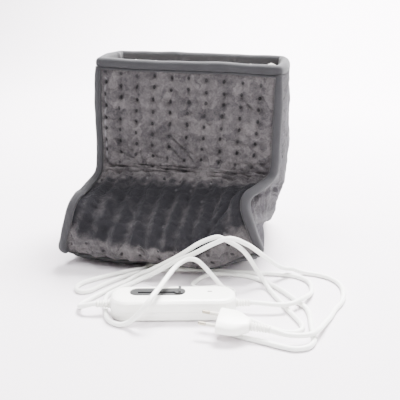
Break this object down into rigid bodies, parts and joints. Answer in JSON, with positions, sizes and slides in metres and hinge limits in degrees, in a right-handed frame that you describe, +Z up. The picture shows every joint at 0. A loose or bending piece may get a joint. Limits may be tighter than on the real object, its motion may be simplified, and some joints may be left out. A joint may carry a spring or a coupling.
{
  "type": "electric foot warmer",
  "caption": "Quilted plush boot for both feet with a teddy lining and a heated sole, an in-line slide controller and a corded flat mains plug.",
  "frame": {"origin": "middle of the boot's floor area, at the floor, without the cords and what is on them", "axes": "+Z up, the boot's toe towards -Y and its heel towards +Y, +X to the boot's right as seen from in front of the toe"},
  "size_m": [0.3691, 0.3753, 0.2633],
  "materials": {
    "front_panel": "quilted plush",
    "instep_panel": "quilted plush",
    "side_panel_left": "plush",
    "side_panel_right": "plush",
    "back_panel": "quilted plush",
    "sole_panel": "woven cloth",
    "rim_binding": "soft tape",
    "front_binding_left": "soft tape",
    "front_binding_right": "soft tape",
    "back_binding_left": "soft tape",
    "back_binding_right": "soft tape",
    "teddy_lining": "teddy plush",
    "insole_wadding": "wadding",
    "heater_felt": "felt",
    "heating_wire": "silicone insulation",
    "thermal_cutout_1": "plain",
    "thermal_cutout_2": "plain",
    "heater_splice": "shrink sleeve",
    "boot_cord_gland": "satin",
    "controller_top_shell": "satin",
    "controller_bottom_shell": "satin",
    "slider_track": "fine grain",
    "slider_knob": "fine grain",
    "slider_carriage": "plain",
    "slide_switch": "plain",
    "circuit_board": "lacquered board",
    "capacitor": "plain",
    "triac": "plain",
    "indicator_led": "clear",
    "indicator_lens": "clear",
    "controller_screw_1": "plated",
    "controller_screw_2": "plated",
    "controller_screw_3": "plated",
    "controller_screw_4": "plated",
    "cord_clamp_left": "plain",
    "cord_clamp_right": "plain",
    "strain_relief_left": "soft plastic",
    "strain_relief_right": "soft plastic",
    "plug_body": "satin",
    "plug_pin_1": "nickel plated",
    "plug_pin_2": "nickel plated",
    "plug_pin_sleeve_1": "plain",
    "plug_pin_sleeve_2": "plain",
    "plug_strain_relief": "soft plastic",
    "mains_cord_outer_loops": "soft plastic",
    "mains_cord_middle_loops": "soft plastic",
    "mains_cord_inner_loops": "soft plastic",
    "heater_cord": "soft plastic"
  },
  "bodies": {
    "warmer": {"front_panel": "front_panel", "instep_panel": "instep_panel", "side_panel_left": "side_panel_left", "side_panel_right": "side_panel_right", "back_panel": "back_panel", "sole_panel": "sole_panel", "rim_binding": "rim_binding", "front_binding_left": "front_binding_left", "front_binding_right": "front_binding_right", "back_binding_left": "back_binding_left", "back_binding_right": "back_binding_right", "teddy_lining": "teddy_lining", "insole_wadding": "insole_wadding", "heater_felt": "heater_felt", "heating_wire": "heating_wire", "thermal_cutout_1": "thermal_cutout_1", "thermal_cutout_2": "thermal_cutout_2", "heater_splice": "heater_splice", "boot_cord_gland": "boot_cord_gland", "controller_top_shell": "controller_top_shell", "controller_bottom_shell": "controller_bottom_shell", "slider_track": "slider_track", "slide_switch": "slide_switch", "circuit_board": "circuit_board", "capacitor": "capacitor", "triac": "triac", "indicator_led": "indicator_led", "indicator_lens": "indicator_lens", "controller_screw_1": "controller_screw_1", "controller_screw_2": "controller_screw_2", "controller_screw_3": "controller_screw_3", "controller_screw_4": "controller_screw_4", "cord_clamp_left": "cord_clamp_left", "cord_clamp_right": "cord_clamp_right", "strain_relief_left": "strain_relief_left", "strain_relief_right": "strain_relief_right", "plug_body": "plug_body", "plug_pin_1": "plug_pin_1", "plug_pin_2": "plug_pin_2", "plug_pin_sleeve_1": "plug_pin_sleeve_1", "plug_pin_sleeve_2": "plug_pin_sleeve_2", "plug_strain_relief": "plug_strain_relief", "mains_cord_outer_loops": "mains_cord_outer_loops", "mains_cord_middle_loops": "mains_cord_middle_loops", "mains_cord_inner_loops": "mains_cord_inner_loops", "heater_cord": "heater_cord"},
    "slider": {"slider_knob": "slider_knob", "slider_carriage": "slider_carriage"}
  },
  "joints": [
    {"name": "heat_slide", "type": "slide", "parent": "warmer", "child": "slider", "axis": [-0.9617, -0.274, 0], "range_m": [0, 0.045]}
  ]
}
